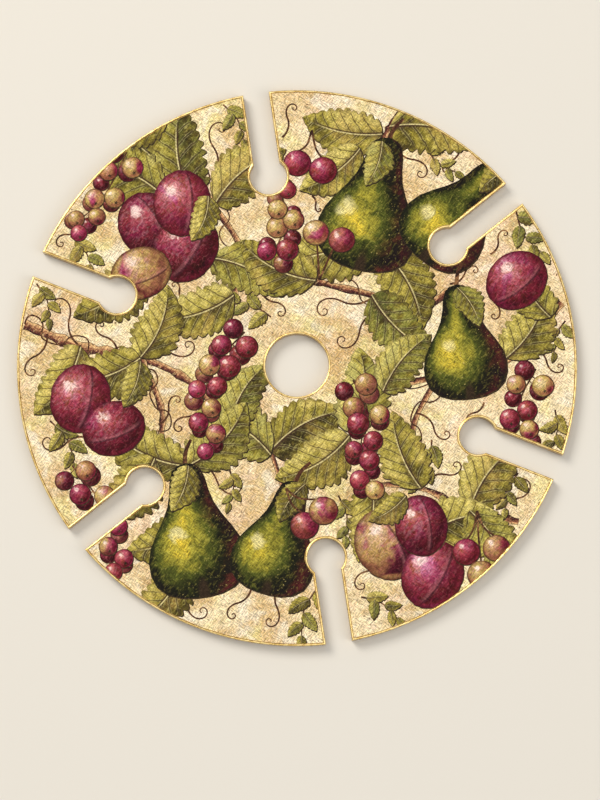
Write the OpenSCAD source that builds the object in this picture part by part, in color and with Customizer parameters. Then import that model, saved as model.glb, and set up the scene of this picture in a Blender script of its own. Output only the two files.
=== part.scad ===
// Round board that sits over a bottle's neck and carries stemmed glasses by their feet.
// The board lies flat: +Z is up, and the origin is on the underside, on the axis of the bottle hole.

/* [Board] */
// Outside diameter over the gilded rim
disc_d = 300; // [240:5:360]
// Thickness of the fibreboard
board_t = 6; // [4:0.5:10]

/* [Bottle hole] */
// Diameter of the hole that goes over the bottle's neck
neck_d = 34; // [28:0.5:44]

/* [Glass slots] */
// Number of glasses the board carries
slot_count = 6; // [4:1:8]
// Diameter of the round seat at the inner end of a slot
seat_d = 20; // [16:0.5:24]
// Width of the straight channel that a glass stem slides in through
channel_w = 14; // [10:0.5:15]
// Distance from the rim to the centre of a seat
slot_depth = 46; // [36:1:56]

/* [Printed sheet] */
// Thickness of the printed paper with its varnish
print_t = 0.2; // [0.1:0.05:0.4]

/* [Gilding] */
// Width of the raised gold line along the rim and the slots
bead_w = 1.2; // [1:0.1:2.4]
// Width of the finer gold line round the bottle hole
neck_bead_w = 1; // [0.8:0.1:2.4]
// Height of both gold lines above the bare board
bead_h = 0.6; // [0.5:0.05:0.9]
// Thickness of the gold coats on the side walls
film_t = 0.4; // [0.2:0.05:0.8]

/* [Hidden] */
$fn = 160;

function numbered(stem) = [for (n = [1:slot_count]) str(stem, n)];

disc_r = disc_d / 2;
neck_r = neck_d / 2;
seat_r = seat_d / 2;
channel_half = channel_w / 2;
seat_reach = disc_r - slot_depth;
slot_step = 360 / slot_count;
first_slot_angle = 90;

// Overrun of every cutting shape
over = film_t;

GOLD = "#d9ae4e";
PAPER = "#e6d6a4";
FIBREBOARD = "#a9845a";

// Height at which a gold line of width w is widest, where its round top starts
function widest_z(w) = board_t + bead_h - w / 2;
// How far below the board's face that widest place lies
function sunk(w) = max(0, board_t - widest_z(w));
// Where the inner side of a gold line of width w meets the face, and the paper begins
function paper_inset(w) = w / 2 + sqrt(pow(w / 2, 2) - pow(sunk(w), 2));
function slot_angle(n) = first_slot_angle + (n - 1) * slot_step;
// Distance along a slot's axis at which a circle of radius r, centred at c, is h off the axis
function along(c, r, h) = c + sqrt(pow(r, 2) - pow(h, 2));
// The point a share k of the way from a to b, and past b for a share over one
function between(a, b, k) = a + (b - a) * k;
function other_side(p) = [p[0], -p[1]];

// Ends of the two mitre lines, in a slot's own frame with its axis along X
rim_corner = [along(0, disc_r, channel_half), channel_half];
rim_corner_in = [along(0, disc_r - bead_w, channel_half + bead_w), channel_half + bead_w];
neck_corner = [along(seat_reach, seat_r, channel_half), channel_half];
neck_corner_in = [along(seat_reach, seat_r + bead_w, channel_half + bead_w), channel_half + bead_w];
rim_mitre = [between(rim_corner, rim_corner_in, -1), between(rim_corner, rim_corner_in, 2)];
neck_mitre = [between(neck_corner, neck_corner_in, -1), between(neck_corner, neck_corner_in, 2)];

// Turns what it is given into the frame of slot n
module at_slot(n) {
    rotate([0, 0, slot_angle(n)]) children();
}

// Draws a flat shape out through the whole height of the gilding
module through_gilding() {
    translate([0, 0, -over]) linear_extrude(board_t + bead_h + 2 * over) children();
}

// One keyhole slot, widened on every side by inset
module keyhole(inset) {
    translate([seat_reach, 0]) circle(r = seat_r + inset);
    translate([seat_reach, -channel_half - inset]) square([slot_depth + over, channel_w + 2 * inset]);
}

// The disc's outline with its hole and slots, drawn in by inset, and by neck_inset at the hole
module face_outline(inset, neck_inset) {
    difference() {
        circle(r = disc_r - inset);
        circle(r = neck_r + neck_inset);
        for (n = [1:slot_count]) at_slot(n) keyhole(inset);
    }
}

// Section through gilding with a line of width w: X runs from the edge into the board, and Y up
module gilding_section(w) {
    difference() {
        union() {
            square([w, widest_z(w)]);
            translate([w / 2, widest_z(w)]) circle(d = w);
        }
        translate([film_t, -over]) square([w, board_t + over]);
    }
}

module board() {
    color(FIBREBOARD) linear_extrude(board_t) face_outline(film_t, film_t);
}

module front_print() {
    color(PAPER) translate([0, 0, board_t])
        linear_extrude(print_t) face_outline(paper_inset(bead_w), paper_inset(neck_bead_w));
}

module bottle_hole_edge() {
    color(GOLD) rotate_extrude() translate([neck_r, 0]) gilding_section(neck_bead_w);
}

// What a slot takes out of the rim's gilding, up to its two mitre lines
module rim_gap() {
    through_gilding()
        polygon([rim_mitre[0], rim_mitre[1], other_side(rim_mitre[1]), other_side(rim_mitre[0])]);
}

// What the channel takes out of the gilding round a seat
module neck_gap() {
    far_x = neck_mitre[1][0] + seat_d;
    far_y = neck_mitre[1][1];
    through_gilding()
        polygon([
            neck_mitre[0], neck_mitre[1], [far_x, far_y],
            [far_x, -far_y], other_side(neck_mitre[1]), other_side(neck_mitre[0])
        ]);
}

// Gilding of the rim from slot n to the next one
module rim_edge(n) {
    color(GOLD) difference() {
        rotate([0, 0, slot_angle(n)])
            rotate_extrude(angle = slot_step)
                translate([disc_r, 0]) mirror([1, 0]) gilding_section(bead_w);
        at_slot(n) rim_gap();
        at_slot(n + 1) rim_gap();
    }
}

// Gilding round the seat of slot n, open where the channel runs in
module seat_edge(n) {
    color(GOLD) at_slot(n) difference() {
        translate([seat_reach, 0, 0]) rotate_extrude() translate([seat_r, 0]) gilding_section(bead_w);
        neck_gap();
    }
}

// Gilding of one straight side of a channel, mitred at the seat and at the rim
module channel_side() {
    intersection() {
        translate([seat_reach, channel_half, 0])
            rotate([90, 0, 90]) linear_extrude(slot_depth) gilding_section(bead_w);
        through_gilding() polygon([neck_mitre[0], rim_mitre[0], rim_mitre[1], neck_mitre[1]]);
    }
}

// Gilding of both sides of the channel of slot n
module channel_edge(n) {
    color(GOLD) at_slot(n) {
        channel_side();
        mirror([0, 1, 0]) channel_side();
    }
}

board();
front_print();
bottle_hole_edge();
for (n = [1:slot_count]) {
    rim_edge(n);
    seat_edge(n);
    channel_edge(n);
}
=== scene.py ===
import math
import random

import bpy
from mathutils import Matrix, Vector
from mathutils.geometry import delaunay_2d_cdt


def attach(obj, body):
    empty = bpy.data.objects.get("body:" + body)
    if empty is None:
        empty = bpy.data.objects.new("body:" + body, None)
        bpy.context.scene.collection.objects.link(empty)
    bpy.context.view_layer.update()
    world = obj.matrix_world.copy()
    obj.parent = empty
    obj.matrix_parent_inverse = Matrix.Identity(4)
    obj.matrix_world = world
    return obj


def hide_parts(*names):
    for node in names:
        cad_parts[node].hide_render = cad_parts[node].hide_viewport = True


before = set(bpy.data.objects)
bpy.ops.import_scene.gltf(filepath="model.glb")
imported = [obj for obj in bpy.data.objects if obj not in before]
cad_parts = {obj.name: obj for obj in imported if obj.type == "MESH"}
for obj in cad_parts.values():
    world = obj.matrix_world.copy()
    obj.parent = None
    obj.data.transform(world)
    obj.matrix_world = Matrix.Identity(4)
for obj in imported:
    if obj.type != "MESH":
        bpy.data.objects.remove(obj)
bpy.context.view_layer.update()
bpy.ops.object.select_all(action="DESELECT")


# The board: a disc of 6 mm fibreboard, sawn with a hole for a bottle's neck and six keyhole
# slots, sanded, and painted underneath with a broad brush in thin coats of old gold.
MM = 0.001


class Wire:
    """A value inside a finish. Sums on it become Math nodes of that finish."""

    def __init__(self, socket):
        self.socket = socket

    @staticmethod
    def node(tree, kind, settings=None, sockets=None, output=0):
        """Adds a node, sets it up, gives its sockets values or wires, and returns one output."""
        made = tree.nodes.new(kind)
        for name, value in (settings or {}).items():
            if name == "stops":
                stops = made.color_ramp.elements
                while len(stops) < len(value):
                    stops.new(1.0)
                for stop, (place, colour) in zip(stops, value):
                    stop.position = place
                    stop.color = (*colour, 1.0)
            else:
                setattr(made, name, value)
        for name, value in (sockets or {}).items():
            if isinstance(value, Wire):
                tree.links.new(value.socket, made.inputs[name])
            else:
                made.inputs[name].default_value = value
        return Wire(made.outputs[output])

    def reckon(self, operation, *values):
        tree = self.socket.id_data
        return Wire.node(tree, "ShaderNodeMath", {"operation": operation}, dict(enumerate(values)))

    def __add__(self, other): return self.reckon("ADD", self, other)
    def __radd__(self, other): return self.reckon("ADD", other, self)
    def __sub__(self, other): return self.reckon("SUBTRACT", self, other)
    def __rsub__(self, other): return self.reckon("SUBTRACT", other, self)
    def __mul__(self, other): return self.reckon("MULTIPLY", self, other)
    def __rmul__(self, other): return self.reckon("MULTIPLY", other, self)
    def __truediv__(self, other): return self.reckon("DIVIDE", self, other)
    def __pow__(self, other): return self.reckon("POWER", self, other)
    def __abs__(self): return self.reckon("ABSOLUTE", self)
    def __gt__(self, other): return self.reckon("GREATER_THAN", self, other)
    def least(self, other): return self.reckon("MINIMUM", self, other)
    def most(self, other): return self.reckon("MAXIMUM", self, other)
    def fraction(self): return self.reckon("FRACT", self)

    def rise(self, low, high):
        """0 below low, 1 above high, and smooth in between. With low over high it falls instead."""
        return Wire.node(self.socket.id_data, "ShaderNodeMapRange", {"interpolation_type": "SMOOTHSTEP"},
                         {"Value": self, "From Min": low, "From Max": high})


def new_finish(name):
    made = bpy.data.materials.new(name)
    made.use_nodes = True
    return made, made.node_tree


def lay_on(tree, **sockets):
    """Gives the finish's shader its values and wires."""
    shader = tree.nodes["Principled BSDF"]
    for name, value in sockets.items():
        name = name.replace("_", " ")
        if isinstance(value, Wire):
            tree.links.new(value.socket, shader.inputs[name])
        else:
            shader.inputs[name].default_value = value


def mixed(tree, share, under, over):
    """The colour over laid on the colour under by a share."""
    under, over = (paint if isinstance(paint, Wire) else (*paint, 1) for paint in (under, over))
    return Wire.node(tree, "ShaderNodeMix", {"data_type": "RGBA"}, {0: share, 6: under, 7: over}, 2)


def washed(tree, colour, *washes):
    """Washes laid on a colour in turn, each a share and its paint."""
    for share, paint in washes:
        colour = mixed(tree, share, colour, paint)
    return colour


def object_place(tree):
    return Wire.node(tree, "ShaderNodeTexCoord", output="Object")


def millimetres(tree, turn=0.0, along=1.0, across=1.0):
    """Places on the piece in millimetres, turned and drawn out so that patterns can run in strokes."""
    return Wire.node(tree, "ShaderNodeMapping", {"vector_type": "TEXTURE"}, {
        "Vector": object_place(tree), "Rotation": (0, 0, math.radians(turn)),
        "Scale": (MM * along, MM * across, MM)})


def mottle(tree, place, size, detail=3.0, warp=0.0):
    """Cloudy values about 0.5, with clouds of that size."""
    return Wire.node(tree, "ShaderNodeTexNoise", {}, {
        "Vector": place, "Scale": 1 / size, "Detail": detail, "Distortion": warp})


def relief(tree, height, depth, strength=1.0):
    """The surface roughened by a height, which is depth millimetres where it is 1."""
    return Wire.node(tree, "ShaderNodeBump", {}, {
        "Height": height, "Distance": depth * MM, "Strength": strength})


BRUSH_TURN = 18
OLD_GOLD, OLD_GOLD_LIT = (0.50, 0.34, 0.13), (0.64, 0.47, 0.21)
BRISTLE_LIT, BRISTLE_SHADE = (0.76, 0.60, 0.32), (0.29, 0.18, 0.065)
painted_back, tree = new_finish("painted_back")
sweep = mottle(tree, millimetres(tree, BRUSH_TURN, along=60.0, across=9.0), 1.0, detail=2.0, warp=0.6)
bristle = mottle(tree, millimetres(tree, BRUSH_TURN, along=45.0, across=0.7), 1.0, detail=3.0, warp=0.3)
coat = washed(tree, OLD_GOLD,
              (sweep.rise(0.35, 0.65) * 0.8, OLD_GOLD_LIT),
              (bristle.rise(0.52, 0.66) * 0.5, BRISTLE_LIT),
              (bristle.rise(0.47, 0.34) * 0.5, BRISTLE_SHADE))
lay_on(tree, Base_Color=coat, Metallic=0.2, Roughness=bristle * 0.2 + 0.42,
       Normal=relief(tree, bristle, depth=0.12))
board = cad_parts["board"]
board.data.materials.clear()
board.data.materials.append(painted_back)


# The print: a sheet of paper with a still life of orchard fruit over old parchment, cut to the
# board's outline, pasted on its face and sealed with satin varnish. Its picture stands a little
# askew to the slots, and the gold that is drawn along its edges strays over it, painted dark
# brown there as the shade at the foot of the raised gold line.
RIM_R, NECK_R, SEAT_R, SEAT_REACH, CHANNEL_HALF = 150.0, 17.0, 10.0, 104.0, 7.0  # Millimetres
SLOTS, FIRST_SLOT = 6, 90
SLOT_STEP = 360 / SLOTS
SHEET_TOP, SHEET_THICK = 6.2 * MM, 0.2 * MM
PRINT_INSET, HOLE_INSET = 1.2, 1.0
MARGIN, MARGIN_STRAY, HOLE_MARGIN, HOLE_MARGIN_STRAY = 0.14, 0.08, 0.12, 0.06
BRUSH_WAVES = ((97, 0.5, 0.0), (161, 0.5, 1.3), (53, 0.6, 0.4))
CHANNEL_STEPS, SEAT_STEPS, RIM_STEPS, HOLE_STEPS = 24, 60, 100, 120
PICTURE_TURN = math.radians(-8.55)
luck = random.Random(7)
figures = []


def turned(x, y, angle):
    return x * math.cos(angle) - y * math.sin(angle), x * math.sin(angle) + y * math.cos(angle)


def put(points, x, y, angle):
    """Points of a figure's own frame, moved into the picture."""
    return [(x + a, y + b) for a, b in (turned(px, py, angle) for px, py in points)]


def frame_of(x, y, angle, long, wide):
    """What turns a place in the picture into a figure's own frame."""
    def own(px, py):
        a, b = turned(px - x, py - y, -angle)
        return a / long, b / wide
    return own


def arc(x, y, r, start, end, steps):
    return [(x + r * math.cos(a), y + r * math.sin(a))
            for a in (start + (end - start) * k / steps for k in range(steps + 1))]


def square_to(a, b):
    """The direction square to the way from a to b, on its left."""
    far = math.dist(a, b) or 1.0
    return (a[1] - b[1]) / far, (b[0] - a[0]) / far


def strayed(ring, wander):
    """A closed line that strays to both sides, as a brush does."""
    out = []
    for i, (x, y) in enumerate(ring):
        nx, ny = square_to(ring[i - 1], ring[(i + 1) % len(ring)])
        t = 2 * math.pi * i / len(ring)
        stray = wander * sum(share * math.sin(waves * t + start) for waves, share, start in BRUSH_WAVES)
        out.append((x + nx * stray, y + ny * stray))
    return out


def cut_line(inset, wander=0.0):
    """The board's outline with its slots, drawn in."""
    h = CHANNEL_HALF + inset
    r_rim, r_seat = RIM_R - inset, SEAT_R + inset
    gap, neck = math.asin(h / r_rim), math.asin(h / r_seat)
    rim_x = math.sqrt(r_rim**2 - h**2)
    neck_x = SEAT_REACH + math.sqrt(r_seat**2 - h**2)
    way_in = [(rim_x + (neck_x - rim_x) * k / CHANNEL_STEPS, -h) for k in range(CHANNEL_STEPS)]
    seat = arc(SEAT_REACH, 0, r_seat, -neck, neck - 2 * math.pi, SEAT_STEPS)
    way_out = [(x, h) for x, _ in way_in[::-1]]
    ring = []
    for n in range(SLOTS):
        axis = math.radians(FIRST_SLOT + SLOT_STEP * n)
        ring += put(way_in + seat + way_out, 0, 0, axis)
        ring += arc(0, 0, r_rim, axis + gap, axis + math.radians(SLOT_STEP) - gap, RIM_STEPS)[1:-1]
    return strayed(ring, wander)


def hole_line(inset, wander=0.0):
    return strayed(arc(0, 0, NECK_R + inset, 0, 2 * math.pi, HOLE_STEPS)[:-1], wander)


def along_curve(points, steps):
    """A smooth line through points."""
    ends = [points[0], *points, points[-1]]
    line = []
    for four in zip(ends, ends[1:], ends[2:], ends[3:]):
        for t in (step / steps for step in range(steps)):
            line.append(tuple(
                0.5 * (2 * b + (c - a) * t + (2 * a - 5 * b + 4 * c - d) * t**2
                       + (3 * b - a - 3 * c + d) * t**3)
                for a, b, c, d in zip(*four)))
    return line + [points[-1]]


def beside(line, i):
    """The points before and after point i of an open line."""
    return line[max(i - 1, 0)], line[min(i + 1, len(line) - 1)]


def tapering(line, thick, thin):
    n = len(line) - 1
    return [thick + (thin - thick) * i / n for i in range(n + 1)]


def ribbon(line, halves):
    """The outline of a line that is drawn with those half widths."""
    left, right = [], []
    for i, ((x, y), half) in enumerate(zip(line, halves)):
        nx, ny = square_to(*beside(line, i))
        left.append((x + nx * half, y + ny * half))
        right.append((x - nx * half, y - ny * half))
    return left + right[::-1]


def figure(finish, ring, shape=None, light=None, tone=(0.5, 0.0, 0.0)):
    """Puts a shape on the picture, over all before it. shape and light turn a place into the
    figure's own frame and into the one that its light is painted in. tone is its luck, its
    shade and, for a leaf, its bend."""
    figures.append({"finish": finish, "ring": ring, "shape": shape, "light": light, "tone": tone})


def shade_line(ring, grow, dx, dy):
    """The ink under a figure, a little larger than it and shifted to its shaded side."""
    cx, cy = (sum(p[k] for p in ring) / len(ring) for k in (0, 1))
    share = 1 + grow / max(math.hypot(x - cx, y - cy) for x, y in ring)
    figure("ink_line", [(cx + (x - cx) * share + dx, cy + (y - cy) * share + dy) for x, y in ring])


def stalk(line, thick, thin):
    figure("stalk_paint", ribbon(line, tapering(line, thick, thin)))


def bowed(t):
    """How far a leaf bows at a share of its length, 1 at its middle."""
    return 4 * t * (1 - t)


def leaf_half(t):
    """Half a leaf's width at a share of its length, 1 at its widest."""
    return 2.556 * t**0.55 * (1 - t)**0.85


def leaf(x, y, long, degrees, bend=0.08, fat=0.29, teeth=10):
    """A leaf from its stalk end, with bowed teeth that point to its tip."""
    angle = math.radians(degrees)
    wide = long * fat
    last_tooth = 0.985
    sides = {1: [], -1: []}
    for side, edge in sides.items():
        wave = luck.uniform(0, 6)
        for k in range(teeth):
            notch, point = (k + luck.uniform(0.15, 0.4)) / teeth, (k + luck.uniform(0.9, 1.12)) / teeth
            tip = luck.uniform(1.02, 1.13)
            tooth = (notch, luck.uniform(0.87, 0.94)), ((notch + point) / 2, tip * 0.985), (point, tip)
            for t, grow in tooth:
                if t < last_tooth:
                    grow *= 1 + 0.05 * math.sin(8 * t + wave)
                    edge.append((t * long, side * wide * leaf_half(t) * grow + bend * long * bowed(t)))
    ring = put([(0.0, 0.0), *sides[-1], (long, 0.0), *sides[1][::-1]], x, y, angle)
    shade_line(ring, grow=0.45, dx=0.28, dy=-0.42)
    side_lit = math.cos(angle - math.radians(45))
    figure("leaf_paint", ring, frame_of(x, y, angle, long, wide), lambda px, py: (side_lit, 0.0),
           tone=(luck.random(), luck.uniform(-0.5, 0.5), bend / fat))


# Half a pear's width at shares of its height
PEAR_HALVES = [
    (0, 0.14), (0.013, 0.42), (0.05, 0.69), (0.12, 0.90), (0.21, 0.99), (0.30, 1.0), (0.40, 0.93),
    (0.50, 0.78), (0.60, 0.60), (0.69, 0.475), (0.78, 0.405), (0.87, 0.365), (0.95, 0.29), (0.985, 0.17)]


def pear(x, y, tall, degrees, fat=0.36):
    """A pear from its blossom end."""
    angle = math.radians(degrees - 90)
    wide = tall * fat
    right = [(half * wide, t * tall) for t, half in PEAR_HALVES]
    ring = put([(0.0, 0.0), *right, (0.0, tall), *[(-a, b) for a, b in right[::-1]]], x, y, angle)
    (tip_x, tip_y), (body_x, body_y) = put([(0.0, tall - 1), (0.0, 0.33 * tall)], x, y, angle)
    stalk(along_curve(put([(0, 0), (1.5, 7), (5, 13)], tip_x, tip_y, angle), steps=5), thick=1.3, thin=0.8)
    shade_line(ring, grow=0.45, dx=0.3, dy=-0.35)
    figure("pear_paint", ring, frame_of(x, y, angle, wide, tall),
           lambda px, py: ((px - body_x) / wide, (py - body_y) / wide),
           tone=(luck.random(), luck.uniform(-0.4, 0.4), 0.0))


def unevenly(far, most=0.015):
    return (1 + luck.uniform(-most, most)) * far


def round_fruit(finish, x, y, r, long=1.0, degrees=90, points=24, shade=None):
    """A round fruit with a slightly uneven skin."""
    angle = math.radians(degrees - 90)
    size = r * (1 + long) / 2
    circle = arc(0, 0, r, 0, 2 * math.pi, points)[:-1]
    ring = put([(unevenly(px), unevenly(py * long)) for px, py in circle], x, y, angle)
    shade_line(ring, grow=0.3, dx=0.18, dy=-0.22)
    figure(finish, ring, frame_of(x, y, angle, r, r * long),
           lambda px, py: ((px - x) / size, (py - y) / size),
           tone=(luck.random(), luck.uniform(-0.5, 0.5) if shade is None else shade, 0.0))


def plum(x, y, r, degrees):
    round_fruit("plum_paint", x, y, r, long=1.16, degrees=degrees, points=48)


def twig(points, thick, thin):
    """A knotty twig."""
    line = along_curve(points, steps=7)
    halves = [half * luck.choice((0.82, 0.9, 1.0, 1.1, 1.45)) for half in tapering(line, thick, thin)]
    lengths = [0.0]
    for a, b in zip(line, line[1:]):
        lengths.append(lengths[-1] + math.dist(a, b))

    def on_bark(px, py):
        """How far along the twig a place is, in centimetres, and across it, in half widths."""
        best = None
        for i, (a, b) in enumerate(zip(line, line[1:])):
            dx, dy = b[0] - a[0], b[1] - a[1]
            t = max(0.0, min(1.0, ((px - a[0]) * dx + (py - a[1]) * dy) / (dx * dx + dy * dy)))
            ox, oy = px - a[0] - dx * t, py - a[1] - dy * t
            far = math.hypot(ox, oy)
            if best is None or far < best[0]:
                side = 1 if dx * oy - dy * ox > 0 else -1
                half = halves[i] + (halves[i + 1] - halves[i]) * t
                best = far, lengths[i] + t * math.hypot(dx, dy), side * far / half
        return best[1] / 10, best[2]
    figure("ink_line", ribbon(line, [half + 0.28 for half in halves]))
    figure("twig_paint", ribbon(line, halves), on_bark, tone=(luck.random(), luck.uniform(-0.3, 0.3), 0.0))


def curl(x, y, end_x, end_y, hand):
    """A tendril that first bows one way, then winds up the other way at its end."""
    steps, turns, bowing, shrinking = 46, 2.1, 0.28, 0.8
    first_step = math.hypot(end_x - x, end_y - y) * 2.6 / 0.98 / steps
    angle = math.atan2(end_y - y, end_x - x) + hand * math.radians(33)
    line = []
    for t in (k / steps for k in range(steps)):
        line.append((x, y))
        step = first_step * (1 - shrinking * t)
        winds = -0.35 if t < bowing else 0.25 + 1.7 * (t - bowing)
        angle += hand * math.radians(360 * turns / steps) * winds
        x, y = x + step * math.cos(angle), y + step * math.sin(angle)
    stalk(line, thick=0.58, thin=0.28)


def winding(points, reach, turns):
    """A tendril wound about a twig."""
    line = along_curve(points, steps=28)
    wound = []
    for i, (x, y) in enumerate(line):
        nx, ny = square_to(*beside(line, i))
        t = 2 * math.pi * turns * i / len(line)
        out = reach * math.sin(t) * (0.85 + 0.25 * math.sin(0.7 * t + 1))
        on = -reach * 0.3 * math.sin(2 * t)
        wound.append((x + nx * out + ny * on, y + ny * out - nx * on))
    stalk(wound, thick=0.46, thin=0.34)


def tuft(x, y, r, turn):
    """The dry tuft on a currant's end."""
    star = [((0.26 if n % 2 else 0.09) * r, 2 * math.pi * n / 10 + turn) for n in range(10)]
    figure("ink_line", [(x + far * math.cos(a), y + far * math.sin(a)) for far, a in star])


def currants(points, count, r):
    """A string of currants by turns on both sides of its stalk, shaded ones behind and lit ones before."""
    line = along_curve(points, steps=8)
    stalk(line, thick=0.5, thin=0.3)
    for lit in (0, 1):
        for k in range(count):
            t = (k + 0.3 + 0.4 * lit) / count
            i = min(int(t * (len(line) - 1)) + 1, len(line) - 1)
            x, y = line[i]
            nx, ny = square_to(line[i - 1], line[i])
            out = (1 if (k + lit) % 2 else -1) * r * luck.uniform(0.75, 1.15) * (1.1 - 0.5 * t)
            cx, cy = x + nx * out, y + ny * out - 0.3 * r
            stalk([(x, y), (cx, cy)], thick=0.32, thin=0.25)
            own_r = r * (0.9 + 0.1 * lit) * (1 - 0.2 * t) * luck.uniform(0.9, 1.08)
            round_fruit("berry_paint", cx, cy, own_r, shade=None if lit else 1.4)
            if lit:
                tuft(cx + own_r * 0.16, cy - own_r * 0.52, own_r, k)


def sprig(x, y, degrees, long, hand=1):
    """A young shoot with small leaves by turns on both sides."""
    angle = math.radians(degrees)
    line = along_curve(put([(0, 0), (long * 0.5, hand * long * 0.12), (long, 0)], x, y, angle), steps=6)
    stalk(line, thick=0.5, thin=0.3)
    turns = (48, -50, 44, -40, -6)
    for k, turn in enumerate(turns):
        foot = line[int((k + 1) / len(turns) * (len(line) - 1))]
        bend = luck.uniform(-0.08, 0.08)
        leaf(*foot, long * (0.52 - 0.05 * k), degrees + turn - hand * 12, bend, fat=0.27, teeth=6)


def cherries(x, y, drops, r=7.4):
    """Cherries that hang from one place by their stalks."""
    for dx, dy in drops:
        hang = [(x, y), (x + dx * 0.35, y + dy * 0.45), (x + dx, y + dy + r * 0.8)]
        stalk(along_curve(hang, steps=7), thick=0.6, thin=0.5)
    for dx, dy in drops:
        round_fruit("berry_paint", x + dx, y + dy, r * luck.uniform(0.94, 1.06), long=0.97, points=32)


# The still life, from the back to the front
twig([(-146, 22), (-116, 10), (-84, 4), (-56, -10), (-36, -34)], thick=2.6, thin=1.3)
twig([(-84, 4), (-72, -26), (-76, -50)], thick=1.6, thin=0.9)
twig([(-14, 62), (10, 46), (40, 38), (62, 30), (86, 42)], thick=1.1, thin=2.0)
twig([(142, 34), (112, 4), (76, -6), (46, -14), (28, -36)], thick=2.4, thin=1.2)
twig([(76, -6), (62, -34), (68, -62)], thick=1.5, thin=0.9)
twig([(-70, 138), (-62, 112), (-46, 88), (-30, 62), (-34, 36)], thick=2.2, thin=1.1)
twig([(2, -92), (-6, -70), (-14, -46)], thick=1.6, thin=1.0)
twig([(118, -84), (92, -78), (66, -66), (40, -64)], thick=1.8, thin=1.0)
twig([(64, 148), (52, 132), (46, 122)], thick=2.0, thin=1.3)
winding([(-146, 22), (-116, 10), (-86, 5)], reach=6.0, turns=2.7)
winding([(0, 54), (12, 46), (40, 38), (60, 32)], reach=5.6, turns=2.6)
winding([(120, 12), (100, -1), (76, -6), (52, -12)], reach=5.6, turns=2.8)
winding([(74, -10), (62, -34), (66, -56)], reach=5.2, turns=2.2)
winding([(-82, -4), (-72, -26), (-76, -48)], reach=5.2, turns=2.2)
winding([(-54, 104), (-44, 86), (-32, 62)], reach=5.2, turns=2.2)
for x, y, end_x, end_y, hand in (
        (42, 38, 13, 30, 1), (46, 30, 24, 12, -1), (-20, 42, -8, 28, -1), (-58, -52, -32, -66, 1),
        (-46, 100, -42, 130, -1), (-24, -118, -35, -134, 1), (-8, -116, -14, -138, -1),
        (-116, 10, -128, 34, 1), (-134, 17, -143, -4, 1), (52, 122, 68, 104, -1), (88, 118, 80, 106, 1),
        (124, 10, 141, -2, 1), (-8, 124, -2, 141, -1), (-84, 4, -57, 10, 1), (64, -26, 80, -38, 1),
        (98, -80, 122, -64, 1), (50, -100, 33, -118, 1), (-70, -114, -50, -133, 1),
        (-96, 6, -106, 22, -1), (-74, -32, -64, -18, -1), (-108, -40, -134, -42, -1),
        (68, -64, 86, -54, 1), (82, 44, 96, 52, -1), (110, 40, 106, 26, -1), (-60, 34, -66, 44, 1),
        (-112, 76, -128, 66, 1), (8, 92, 12, 84, 1), (104, 60, 112, 72, -1), (-50, -20, -64, -34, 1),
        (100, -20, 92, -30, 1)):
    curl(x, y, end_x, end_y, hand)
for x, y, degrees, long, hand in (
        (-40, 142, 300, 22, 1), (118, 84, 300, 26, -1), (-132, -30, 300, 26, 1),
        (12, -118, 250, 28, -1), (-122, 70, 300, 24, 1), (72, -40, 250, 24, 1), (-14, 26, 160, 24, -1),
        (138, -24, 262, 22, 1), (22, -70, 280, 22, 1), (34, -124, 330, 22, 1), (70, 118, 320, 20, -1),
        (-36, -56, 270, 18, 1), (-140, 44, 290, 20, 1), (118, -58, 250, 20, -1), (144, 24, 250, 18, -1)):
    sprig(x, y, degrees, long, hand)
for x, y, long, degrees, bend in (
        (46, 126, 44, 168, 0.08), (50, 130, 50, -12, 0.1), (40, 60, 50, 190, -0.1),
        (46, 62, 48, -64, 0.1), (34, 118, 40, 215, 0.08), (-66, 98, 40, 136, -0.06),
        (-58, 90, 52, 96, 0.08), (-72, 92, 48, 158, -0.1), (-44, 88, 48, 38, 0.1),
        (-46, 58, 44, -28, 0.1), (-82, 52, 46, 214, 0.08), (-34, 38, 46, 196, 0.1),
        (10, 46, 46, 152, 0.1), (40, 38, 44, -44, -0.08), (-14, -46, 46, 28, 0.1),
        (-14, -48, 46, 150, -0.1), (28, -36, 46, 84, -0.12), (28, -38, 46, -150, 0.1),
        (46, -14, 40, 50, 0.08), (-36, -34, 40, 60, 0.1), (-84, 4, 42, 70, -0.1),
        (-116, 10, 44, 236, 0.1), (-84, 4, 44, 196, 0.1), (112, 4, 44, 60, -0.1),
        (136, 26, 38, 120, 0.08), (-70, 136, 38, 190, 0.08), (-60, -54, 48, 152, 0.1),
        (-58, -54, 46, 48, -0.1), (-48, -84, 46, 200, 0.08), (-60, -108, 42, 230, 0.08),
        (92, -78, 46, 52, 0.1), (66, -66, 44, 110, 0.08), (40, -64, 42, -100, 0.08),
        (62, -96, 48, 20, 0.1), (-76, -50, 46, -134, 0.1), (92, -78, 40, -60, 0.08)):
    leaf(x, y, long, degrees, bend)
for x, y, tall, degrees in (
        (32, 52, 74, 76), (66, 58, 66, 50), (-50, -124, 72, 98), (-18, -122, 62, 74), (92, -18, 62, 96)):
    pear(x, y, tall, degrees)
for x, y, r, degrees in (
        (-80, 76, 16, 120), (-60, 64, 17, 60), (-84, 50, 14, 20), (-62, 88, 15.5, 90),
        (48, -96, 17, 120), (72, -112, 16, 60), (66, -86, 14, 100), (-116, -18, 16, 80),
        (-98, -34, 14.5, 20), (118, 46, 15, 40)):
    plum(x, y, r, degrees)
for x, y, long, degrees, bend in (
        (46, 122, 26, 250, 0.08), (118, 108, 24, 215, -0.08), (-58, -54, 26, 250, 0.08),
        (4, -64, 24, 236, -0.08), (86, 42, 24, 300, 0.08), (-48, 92, 26, 250, 0.1),
        (58, -70, 24, 214, 0.08), (-84, 2, 26, 250, 0.08)):
    leaf(x, y, long, degrees, bend, teeth=8)
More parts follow.
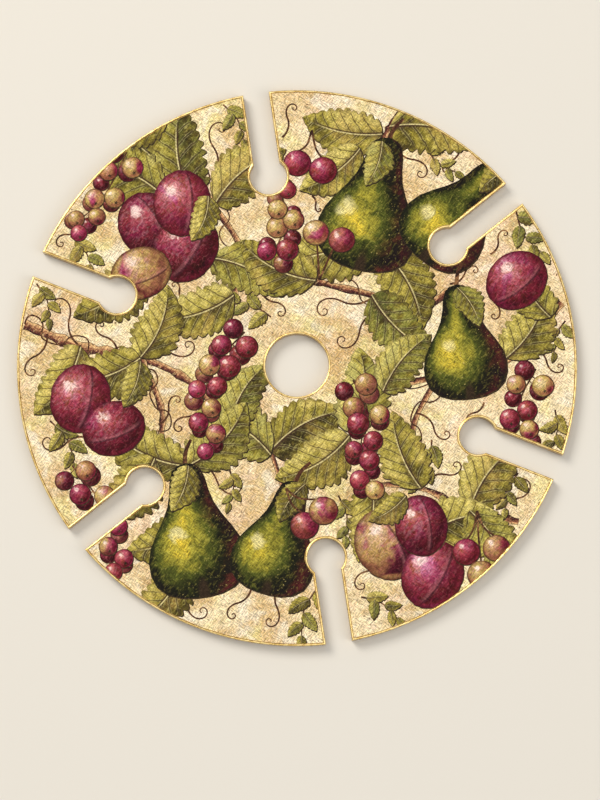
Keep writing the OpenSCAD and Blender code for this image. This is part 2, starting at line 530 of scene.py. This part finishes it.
for points, count, r in (
        ([(30, -8), (38, -26), (34, -44), (38, -66)], 9, 6.0),
        ([(-28, 18), (-42, 2), (-50, -18), (-46, -44)], 10, 6.0),
        ([(-14, 58), (-6, 78), (-10, 100)], 7, 5.8), ([(128, -2), (118, -24), (124, -48)], 7, 5.8),
        ([(-120, -54), (-102, -78), (-94, -108)], 8, 5.8), ([(-92, 116), (-104, 92), (-120, 76)], 7, 5.6)):
    currants(points, count, r)
cherries(96, -78, [(-6, -22), (10, -20), (2, -34)])
cherries(-6, -66, [(10, -20), (20, -12)])
cherries(12, 46, [(-2, 26), (12, 22)], 7.0)
cherries(8, 128, [(-8, -18), (6, -22)])

# The sheet is cut along every outline, and each face takes the paint of the figure on top there
edges = [cut_line(PRINT_INSET), hole_line(HOLE_INSET), cut_line(PRINT_INSET + MARGIN, MARGIN_STRAY),
         hole_line(HOLE_INSET + HOLE_MARGIN, HOLE_MARGIN_STRAY)]
PAPER, PAPER_HOLE, BARE, BARE_HOLE = range(len(edges))
corners, outlines = [], []
for ring in edges + [put(made["ring"], 0, 0, PICTURE_TURN) for made in figures]:
    if sum(ax * by - bx * ay for (ax, ay), (bx, by) in zip(ring, ring[1:] + ring[:1])) < 0:
        ring = ring[::-1]
    outlines.append(list(range(len(corners), len(corners) + len(ring))))
    corners += [Vector(p) for p in ring]
spots, _, cuts, _, _, owners = delaunay_2d_cdt(corners, [], outlines, 1, 1e-4, True)
finishes = ["shaded_gold_margin", "parchment", "ink_line", "leaf_paint", "pear_paint", "plum_paint", "berry_paint",
            "twig_paint", "stalk_paint"]
faces, looks, used = [], [], {}
for cut, inside in zip(cuts, owners):
    if PAPER not in inside or PAPER_HOLE in inside:
        continue
    top = max(inside) - len(edges)
    if BARE not in inside or BARE_HOLE in inside:
        looks.append({"finish": "shaded_gold_margin"})
    else:
        looks.append(figures[top] if top >= 0 else {"finish": "parchment"})
    faces.append([used.setdefault(v, len(used)) for v in cut])
sheet_mesh = bpy.data.meshes.new("printed_sheet")
sheet_mesh.from_pydata([(spots[v][0] * MM, spots[v][1] * MM, SHEET_TOP) for v in used], [], faces)
sheet_mesh.polygons.foreach_set("material_index", [finishes.index(look["finish"]) for look in looks])
sheet_mesh.attributes.new("tone", "FLOAT_VECTOR", "FACE")
for name in ("shape", "light"):
    sheet_mesh.uv_layers.new(name=name)
upright = [turned(spots[v][0], spots[v][1], -PICTURE_TURN) for v in used]
for face, look in zip(sheet_mesh.polygons, looks):
    if "tone" in look:
        sheet_mesh.attributes["tone"].data[face.index].vector = look["tone"]
    for name in ("shape", "light"):
        if look.get(name):
            for corner, v in zip(face.loop_indices, face.vertices):
                sheet_mesh.uv_layers[name].data[corner].uv = look[name](*upright[v])
sheet = bpy.data.objects.new("printed_sheet", sheet_mesh)
bpy.context.scene.collection.objects.link(sheet)
bpy.ops.object.select_all(action="DESELECT")
bpy.context.view_layer.objects.active = sheet
sheet.select_set(True)
paper = sheet.modifiers.new("paper", "SOLIDIFY")
paper.thickness, paper.offset = SHEET_THICK, -1
bpy.ops.object.modifier_apply(modifier="paper")

# A map for baking the finishes onto: the printed side has nearly all of it
BAKE_SPAN = 302 * MM
bake_map = sheet.data.uv_layers.new(name="OFBake")
for face in sheet.data.polygons:
    share, shift = (0.98, 0.01) if face.normal.z > 0.5 else (0.01, 0.0)
    for corner, v in zip(face.loop_indices, face.vertices):
        bake_map.data[corner].uv = [
            (place / BAKE_SPAN + 0.5) * share + shift for place in sheet.data.vertices[v].co[:2]]


def split(vector):
    """The three numbers of a vector."""
    parts = Wire.node(vector.socket.id_data, "ShaderNodeSeparateXYZ", {}, {"Vector": vector}).socket.node
    return [Wire(output) for output in parts.outputs]


def along_map(tree, name):
    return Wire.node(tree, "ShaderNodeUVMap", {"uv_map": name})


def tone_of(tree):
    """A figure's luck, shade and bend."""
    return split(Wire.node(tree, "ShaderNodeAttribute", {"attribute_name": "tone"}, output=1))


def far_from(vector, x, y):
    tree = vector.socket.id_data
    return Wire.node(tree, "ShaderNodeVectorMath", {"operation": "DISTANCE"}, {0: vector, 1: (x, y, 0)}, 1)


def tinted(tree, value, stops):
    return Wire.node(tree, "ShaderNodeValToRGB", {"stops": stops}, {"Fac": value})


def leaning(tree, colour, by):
    """The colour with its red, green and blue each scaled."""
    return Wire.node(tree, "ShaderNodeVectorMath", {"operation": "MULTIPLY"}, {0: colour, 1: by})


SLANTS = (44, -42)


def strokes(tree, along, across):
    """Short strokes that slant one way in some patches of the print and the other way in the rest."""
    patches = mottle(tree, millimetres(tree), along * 1.5, detail=1.0).rise(0.48, 0.52)
    one, other = (mottle(tree, millimetres(tree, turn, along, across), 1.0, detail=0.3, warp=0.25)
                  for turn in SLANTS)
    return one * patches + other * (1 - patches)


def hatching(tree, along, across):
    """Even strokes side by side that break off, with slants in patches as those of the strokes."""
    patches = mottle(tree, millimetres(tree), along * 1.1, detail=1.0).rise(0.49, 0.51)
    hatched = []
    for turn in SLANTS:
        place = millimetres(tree, turn, along, across)
        _, off, _ = split(place)
        sway = mottle(tree, place, 1.5, detail=1.0) * 2.2
        hatched.append(abs((off * 0.5 + sway).fraction() - 0.5) * 2)
    return hatched[0] * patches + hatched[1] * (1 - patches)


def varnished(tree, colour, paint, grain=2.3):
    """The satin varnish over the whole print, with the print's crossing strokes, the paper's tooth
    and the paint's own relief under it."""
    one, other = strokes(tree, along=1.7, across=0.46) - 0.5, hatching(tree, along=2.6, across=0.68) - 0.5
    weave = one * (grain * 0.5) + other * (grain * 0.3) + 1
    colour = Wire.node(tree, "ShaderNodeVectorMath", {"operation": "SCALE"}, {0: colour, "Scale": weave})
    tooth = mottle(tree, millimetres(tree), 0.55, detail=3.0)
    sweep = mottle(tree, millimetres(tree, 30, along=30.0, across=1.6), 1.0, detail=2.0)
    lay_on(tree, Base_Color=colour, Roughness=sweep * 0.16 + 0.34, Specular_IOR_Level=0.05, Coat_Weight=0.02,
           Coat_Roughness=0.2, Normal=relief(tree, (tooth + sweep + paint) * 0.5, depth=0.06, strength=0.8))


def dabbed(tree, colour, dark, light, size=1.0, amount=0.5):
    """Small slanting dabs of a darker and a lighter paint over a colour. Gives the dabs too."""
    dabs = mottle(tree, millimetres(tree, 42, along=2.2, across=0.9), size * 1.3, detail=4.0, warp=1.0)
    colour = washed(tree, colour,
                    (dabs.rise(0.54, 0.64) * amount, light),
                    (dabs.rise(0.47, 0.38) * amount, dark))
    return colour, dabs


AGED, CREAM, BLEACHED = (0.60, 0.42, 0.20), (0.79, 0.66, 0.425), (0.81, 0.74, 0.60)
MOSS_STAIN, ROSE_STAIN, TEA_STAIN = (0.70, 0.62, 0.25), (0.77, 0.56, 0.41), (0.52, 0.33, 0.127)
MOSS_FLECK, ROSE_FLECK, SPOT = (0.75, 0.70, 0.29), (0.83, 0.55, 0.37), (0.17, 0.085, 0.030)
STROKE_LIT, CROSS_LIT = (0.87, 0.77, 0.58), (0.85, 0.76, 0.57)
STROKE_SHADE, CROSS_SHADE = (0.42, 0.26, 0.092), (0.44, 0.29, 0.112)
parchment, tree = new_finish("parchment")
flat = millimetres(tree)
cloud = mottle(tree, flat, 46.0, detail=3.0, warp=0.4)
patch = mottle(tree, flat, 13.0, detail=2.0, warp=0.8)
stain = mottle(tree, flat, 22.0, detail=2.0, warp=0.5)
fleck = mottle(tree, millimetres(tree, 30, along=2.6, across=1.7), 1.0, detail=3.0, warp=0.8)
spot = mottle(tree, flat, 1.9, detail=1.0)
brushed = strokes(tree, along=2.4, across=0.75)
crossed = strokes(tree, along=1.8, across=0.6)
colour = washed(tree, AGED,
                (cloud.rise(0.40, 0.60), CREAM),
                (stain.rise(0.54, 0.66) * 0.65, MOSS_STAIN),
                (stain.rise(0.46, 0.34) * 0.6, ROSE_STAIN),
                (patch.rise(0.54, 0.74) * 0.6, TEA_STAIN),
                (patch.rise(0.48, 0.34) * 0.7, BLEACHED),
                (fleck.rise(0.55, 0.70) * 0.30, MOSS_FLECK),
                (fleck.rise(0.45, 0.30) * 0.26, ROSE_FLECK),
                (brushed.rise(0.55, 0.68) * 0.28, STROKE_LIT),
                (crossed.rise(0.56, 0.70) * 0.20, CROSS_LIT),
                (brushed.rise(0.45, 0.32) * 0.22, STROKE_SHADE),
                (crossed.rise(0.43, 0.30) * 0.16, CROSS_SHADE),
                (spot.rise(0.725, 0.77) * 0.8, SPOT))
varnished(tree, colour, brushed + crossed, grain=2.45)

INK, INK_SHADE, INK_LIT = (0.034, 0.022, 0.012), (0.010, 0.007, 0.005), (0.11, 0.070, 0.032)
ink_line, tree = new_finish("ink_line")
colour, dabs = dabbed(tree, INK, INK_SHADE, INK_LIT, amount=0.7)
varnished(tree, colour, dabs)

VEINS = 7
LEAF_GREENS = [(0.05, (0.026, 0.020, 0.006)), (0.28, (0.105, 0.082, 0.014)), (0.48, (0.262, 0.216, 0.031)),
               (0.68, (0.455, 0.374, 0.073)), (0.92, (0.67, 0.57, 0.175))]
LEAF_TURNING, LEAF_COOL, LEAF_RUSSET = (0.42, 0.27, 0.075), (0.130, 0.185, 0.045), (0.17, 0.09, 0.040)
LEAF_SHADE, LEAF_LIT, LEAF_EDGE = (0.034, 0.025, 0.010), (0.50, 0.44, 0.135), (0.050, 0.034, 0.014)
VEINLET, VEIN, VEIN_LIT = (0.080, 0.055, 0.024), (0.070, 0.045, 0.022), (0.50, 0.46, 0.20)
RIB_HOLLOW, RIB_SHADE, RIB_LIT = (0.060, 0.034, 0.020), (0.050, 0.024, 0.014), (0.60, 0.52, 0.25)
leaf_paint, tree = new_finish("leaf_paint")
u, v, _ = split(along_map(tree, "shape"))
side_lit, _, _ = split(along_map(tree, "light"))
luck_of, shade_of, bend = tone_of(tree)
cloud = mottle(tree, millimetres(tree), 6.0, detail=4.0, warp=0.8)
wash = mottle(tree, millimetres(tree), 17.0, detail=3.0, warp=0.6)
fine = mottle(tree, millimetres(tree), 1.3, detail=3.0, warp=1.5)
v = v - bend * bowed(u)
rib = abs(v)
upper = v > 0
share = rib / leaf_half(u.most(0.001).least(0.999)).most(0.02)
steps = ((u - rib * 0.30 + share * share * 0.05) * VEINS + upper * 0.5 + luck_of + cloud * 0.35).fraction()
vein = abs(steps - 0.5)
veinlet = abs((share * 4.5 + steps * 0.7 + cloud * 2.2).fraction() - 0.5)
glow = (0.46 + (upper * 2 - 1) * side_lit * 0.20 + shade_of * 0.30 + (cloud - 0.5) * 0.9
        + (wash - 0.5) * 0.9 + (share - 0.4) * 0.26 + (vein - 0.25) * 0.42)
colour = washed(tree, tinted(tree, glow, LEAF_GREENS),
                (wash.rise(0.50, 0.66) * luck_of.rise(0.35, 0.9) * 0.5, LEAF_TURNING),
                (cloud.rise(0.36, 0.60) * luck_of.rise(0.62, 0.25) * 0.42, LEAF_COOL))
colour, dabs = dabbed(tree, colour, LEAF_SHADE, LEAF_LIT, size=1.1, amount=0.40)
colour = washed(tree, colour,
                (fine.rise(0.57, 0.70) * 0.35, LEAF_RUSSET),
                (veinlet.rise(0.07, 0.015) * share.rise(0.08, 0.3) * 0.30, VEINLET),
                (vein.rise(0.075, 0.02) * share.rise(1.0, 0.8) * 0.8, VEIN),
                (abs(vein - 0.11).rise(0.05, 0.015) * share.rise(0.95, 0.5) * 0.35, VEIN_LIT),
                (rib.rise(0.30, 0.02) * u.rise(0.80, 0.0) * 0.75, RIB_HOLLOW),
                (abs(v + 0.045).rise(0.045, 0.015) * u.rise(0.98, 0.7) * 0.85, RIB_SHADE),
                (abs(v - 0.012).rise(0.034, 0.014) * u.rise(0.95, 0.55) * 0.85, RIB_LIT),
                (share.rise(0.80, 1.02) * 0.5, LEAF_EDGE))
varnished(tree, colour, dabs)

PEAR_SKIN = [(0.0, (0.009, 0.004, 0.006)), (0.20, (0.009, 0.010, 0.004)), (0.42, (0.075, 0.088, 0.013)),
             (0.60, (0.330, 0.290, 0.034)), (0.78, (0.76, 0.56, 0.05)), (0.98, (0.92, 0.76, 0.22))]
PEAR_SHADE, PEAR_LIT, PEAR_BLUSH = (0.007, 0.008, 0.004), (0.42, 0.38, 0.07), (0.105, 0.012, 0.016)
SPECK_LIT, SPECK_DARK = (0.48, 0.38, 0.13), (0.020, 0.018, 0.008)
PEAR_EDGE, PEAR_GLINT, PEAR_EYE = (0.008, 0.009, 0.005), (0.92, 0.82, 0.42), (0.030, 0.018, 0.010)
pear_paint, tree = new_finish("pear_paint")
own, seen = along_map(tree, "shape"), along_map(tree, "light")
x, y, _ = split(own)
luck_of, shade_of, _ = tone_of(tree)
cloud = mottle(tree, millimetres(tree), 9.0, detail=4.0, warp=1.0)
specks = mottle(tree, millimetres(tree), 1.0, detail=1.0)
share = x / tinted(tree, y, [(t, (half,) * 3) for t, half in PEAR_HALVES] + [(1.0, (0.06,) * 3)])
glow = far_from(seen, -0.30, 0.16).rise(1.1, 0.05)
neck = abs(share + 0.22).rise(0.62, 0.05) * y.rise(0.45, 0.72) * y.rise(1.0, 0.86)
rim = abs(share).rise(0.66, 1.0)
tint = 0.14 + glow * 0.52 + neck * 0.34 - rim * 0.12 + (cloud - 0.5) * 0.55 + shade_of * 0.12
blush = (share * 0.8 - y * 0.2 + (cloud - 0.5) * 1.6).rise(0.25, 0.95)
colour = mixed(tree, blush * 0.7, tinted(tree, tint, PEAR_SKIN), PEAR_BLUSH)
colour, dabs = dabbed(tree, colour, PEAR_SHADE, PEAR_LIT, size=1.2, amount=glow * 0.3 + 0.12)
colour = washed(tree, colour,
                (specks.rise(0.70, 0.76) * 0.7, SPECK_LIT),
                (specks.rise(0.30, 0.25) * 0.7, SPECK_DARK),
                (abs(share).rise(0.86, 1.0).most(y.rise(0.035, 0.0)) * 0.7, PEAR_EDGE),
                ((far_from(seen, -0.40, 0.36) + (cloud - 0.5) * 0.4).rise(0.22, 0.06) * 0.55, PEAR_GLINT),
                (far_from(own, 0.05, 0.02).rise(0.16, 0.06), PEAR_EYE))
varnished(tree, colour, dabs, grain=2.4)

PLUM_SKIN = [(0.0, (0.58, 0.22, 0.24)), (0.18, (0.34, 0.050, 0.078)), (0.40, (0.170, 0.012, 0.028)),
             (0.66, (0.056, 0.0025, 0.007)), (0.94, (0.013, 0.0010, 0.0025))]
BERRY_SKIN = [(0.0, (0.70, 0.32, 0.29)), (0.20, (0.43, 0.075, 0.098)), (0.46, (0.225, 0.018, 0.036)),
              (0.73, (0.082, 0.0040, 0.009)), (0.98, (0.024, 0.0010, 0.0030))]
UNRIPE_SKIN = [(0.0, (0.80, 0.66, 0.34)), (0.3, (0.50, 0.37, 0.10)), (0.6, (0.29, 0.13, 0.055)),
               (0.9, (0.12, 0.025, 0.026))]
COOLER, WARMER = (1.0, 0.88, 1.45), (1.02, 1.9, 0.75)
FRUIT_SHADE, FRUIT_LIT, FRUIT_EDGE = (0.050, 0.006, 0.012), (0.50, 0.14, 0.16), (0.046, 0.003, 0.008)
CREASE, CREASE_LIT = (0.040, 0.005, 0.012), (0.60, 0.24, 0.27)
BLOOM, GLINT = (0.56, 0.32, 0.37), (0.92, 0.72, 0.66)


def round_paint(name, stops, bloom, crease):
    """The paint of a round fruit, with its light from the upper left and a glint."""
    made, tree = new_finish(name)
    own, seen = along_map(tree, "shape"), along_map(tree, "light")
    x, y, _ = split(own)
    luck_of, shade_of, _ = tone_of(tree)
    cloud = mottle(tree, millimetres(tree), 4.0, detail=5.0, warp=1.4)
    ripe = mottle(tree, millimetres(tree), 15.0, detail=3.0, warp=1.0)
    dust = mottle(tree, millimetres(tree, 42, along=1.6, across=0.9), 2.2, detail=5.0, warp=1.0)
    far = far_from(seen, -0.30, 0.34)
    out = far_from(own, 0, 0)
    lit_back = out.rise(0.76, 0.94) * far.rise(0.95, 1.4)
    tint = far * 0.62 + (cloud - 0.5) * 0.62 + shade_of * 0.2 - lit_back * 0.34
    unripe = luck_of.rise(0.64, 0.84) * (ripe - x * 0.12).rise(0.36, 0.54)
    colour = tinted(tree, tint, stops)
    colour = mixed(tree, ripe.rise(0.52, 0.40), colour, leaning(tree, colour, COOLER))
    warm = cloud.rise(0.50, 0.62) * ripe.rise(0.46, 0.56)
    colour = mixed(tree, warm, colour, leaning(tree, colour, WARMER))
    colour = mixed(tree, unripe, colour, tinted(tree, tint, UNRIPE_SKIN))
    dabs_share = far.rise(1.25, 0.4) * 0.26 + 0.12
    colour, dabs = dabbed(tree, colour, FRUIT_SHADE, FRUIT_LIT, amount=dabs_share)
    if crease:
        line = x - 0.36 * ((1 - y * y).most(0.0) ** 0.5)
        colour = washed(tree, colour,
                        (abs(line + 0.07).rise(0.13, 0.0) * out.rise(1.0, 0.6) * 0.20, CREASE_LIT),
                        (abs(line).rise(0.060, 0.01) * out.rise(1.02, 0.85) * 0.75, CREASE))
    colour = washed(tree, colour,
                    (dust.rise(0.44, 0.74) * far.rise(1.1, 0.1) * bloom, BLOOM),
                    ((far_from(seen, -0.36, 0.42) + (cloud - 0.5) * 0.6).rise(0.24, 0.04) * 0.75, GLINT),
                    (out.rise(0.84, 1.0) * 0.7, FRUIT_EDGE))
    varnished(tree, colour, dabs, grain=2.0)
    return made


plum_paint = round_paint("plum_paint", PLUM_SKIN, bloom=0.45, crease=True)
berry_paint = round_paint("berry_paint", BERRY_SKIN, bloom=0.36, crease=False)

BARK = [(0.06, (0.030, 0.010, 0.013)), (0.34, (0.125, 0.036, 0.028)), (0.58, (0.36, 0.150, 0.072)),
        (0.88, (0.68, 0.44, 0.21))]
BARK_SHADE, BARK_LIT = (0.045, 0.014, 0.012), (0.62, 0.43, 0.21)
twig_paint, tree = new_finish("twig_paint")
own = along_map(tree, "shape")
_, across, _ = split(own)
_, shade_of, _ = tone_of(tree)
bark = mottle(tree, own, 0.28, detail=5.0, warp=1.2)
tint = 0.45 + across * 0.42 + (bark - 0.5) * 1.5 + shade_of * 0.2
colour, dabs = dabbed(tree, tinted(tree, tint, BARK), BARK_SHADE, BARK_LIT, size=0.9, amount=0.5)
varnished(tree, colour, dabs)

STALK, STALK_SHADE, STALK_LIT = (0.078, 0.030, 0.016), (0.022, 0.010, 0.008), (0.26, 0.13, 0.055)
stalk_paint, tree = new_finish("stalk_paint")
colour, dabs = dabbed(tree, STALK, STALK_SHADE, STALK_LIT, size=2.2, amount=0.8)
varnished(tree, colour, dabs)


GOLD_PIT = (0.22, 0.12, 0.035)


def gilded(name, line_paints, shaded_wall_paints):
    """Gold paint: bright where it lies thick on the face, and darker below the face's level, down the
    walls, which is painted shade. Each pair is the paint where the brush left much and where it
    left little."""
    made, tree = new_finish(name)
    stroke = mottle(tree, millimetres(tree, along=2.0, across=2.0), 2.0, detail=4.0, warp=0.6)
    grain = mottle(tree, millimetres(tree), 0.45, detail=2.0)
    _, _, height = split(object_place(tree))
    (line, line_thin), (wall, wall_thin) = line_paints, shaded_wall_paints
    on_line = mixed(tree, stroke.rise(0.38, 0.62), line_thin, line)
    wall_in_painted_shade = washed(tree, wall_thin,
                     (stroke.rise(0.38, 0.62), wall),
                     (grain.rise(0.46, 0.32) * 0.5, GOLD_PIT))
    # Below the face's level the walls take their darker paints: painted shade.
    colour = mixed(tree, height.rise(5.6 * MM, 6.1 * MM), wall_in_painted_shade, on_line)
    lay_on(tree, Base_Color=colour, Metallic=0.9, Roughness=stroke * 0.20 + 0.18,
           Normal=relief(tree, stroke * 0.7 + grain * 0.3, depth=0.04))
    return made


# The gold that strays over the paper's edge: gold paint, painted dark brown as painted shade at the foot of
# the raised line.
MARGIN_SHADE_PAINTS = (0.52, 0.32, 0.09), (0.28, 0.15, 0.04)
shaded_gold_margin = gilded("shaded_gold_margin", MARGIN_SHADE_PAINTS, MARGIN_SHADE_PAINTS)
for finish in (shaded_gold_margin, parchment, ink_line, leaf_paint, pear_paint, plum_paint, berry_paint, twig_paint,
               stalk_paint):
    sheet.data.materials.append(finish)
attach(sheet, "root")
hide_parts("front_print")


# The gilding: gold paint drawn by hand over the sheet's cut edges as a raised line, and in
# one thinner coat down the sawn walls of the rim, the slots and the hole. The walls are painted
# darker than the line: painted shade.
LINE_PAINTS = (0.97, 0.76, 0.34), (0.74, 0.51, 0.18)
# The walls' paints are darker than the line's: painted shade.
SHADED_WALL_PAINTS = (0.68, 0.46, 0.15), (0.46, 0.28, 0.08)
gilding = gilded("gilding", LINE_PAINTS, SHADED_WALL_PAINTS)
for name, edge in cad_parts.items():
    if "_edge" in name:
        edge.data.materials.clear()
        edge.data.materials.append(gilding)


# The floor and the light: a plain pale floor close under the board, and three round soft lamps,
# the key at the upper left, a fill at the lower right and one overhead, in a dim warm room.
def lamp(name, place, size, power, colour):
    """A round soft lamp that faces the board."""
    light = bpy.data.lights.new(name, "AREA")
    light.shape, light.size, light.energy, light.color = "DISK", size, power, colour
    made = bpy.data.objects.new(name, light)
    made.location = place
    made.rotation_euler = (-Vector(place)).to_track_quat("-Z", "Y").to_euler()
    bpy.context.scene.collection.objects.link(made)


FLOOR_SIZE, FLOOR_DROP = 6, 0.2 * MM
bpy.ops.mesh.primitive_plane_add(size=FLOOR_SIZE, location=(0, 0, -FLOOR_DROP))
floor = bpy.context.object
floor.name = "floor"
floor_finish, tree = new_finish("floor")
lay_on(tree, Base_Color=(0.70, 0.68, 0.64, 1), Roughness=0.9)
floor.data.materials.append(floor_finish)
world = bpy.data.worlds.new("room")
world.use_nodes = True
room_light = world.node_tree.nodes["Background"].inputs
room_light["Color"].default_value = (1.0, 0.97, 0.92, 1)
room_light["Strength"].default_value = 0.32
bpy.context.scene.world = world
lamp("key", (-1.3, 1.8, 2.3), size=1.7, power=72, colour=(1.0, 0.94, 0.84))
lamp("fill", (1.9, -1.1, 2.1), size=2.0, power=22, colour=(1.0, 0.96, 0.90))
lamp("top", (0.1, -0.1, 2.9), size=2.4, power=26, colour=(1.0, 0.96, 0.89))
bpy.context.scene.view_settings.view_transform = "Standard"


# The camera: as in the photograph, almost straight above the face, from a little below its
# middle, with a long lens. Its up is the picture's up.
UP = Vector((math.sin(-PICTURE_TURN), math.cos(PICTURE_TURN), 0))
RIGHT = Vector((UP.y, -UP.x, 0))
TILT, DISTANCE = math.radians(7.0), 1.5
AIM_BELOW, AIM_RIGHT = 18.8 * MM, 1.6 * MM
camera_data = bpy.data.cameras.new("camera")
camera_data.sensor_width, camera_data.lens = 36, 126
camera_data.clip_start, camera_data.clip_end = 0.05, 20
camera = bpy.data.objects.new("camera", camera_data)
bpy.context.scene.collection.objects.link(camera)
face_middle = Vector((0, 0, SHEET_TOP))
stand = face_middle - UP * DISTANCE * math.sin(TILT) + Vector((0, 0, DISTANCE * math.cos(TILT)))
aim = face_middle - UP * AIM_BELOW + RIGHT * AIM_RIGHT
back = (stand - aim).normalized()
side = UP.cross(back).normalized()
turn = Matrix((side, back.cross(side), back)).transposed()
camera.matrix_world = Matrix.Translation(stand) @ turn.to_4x4()
bpy.context.scene.camera = camera
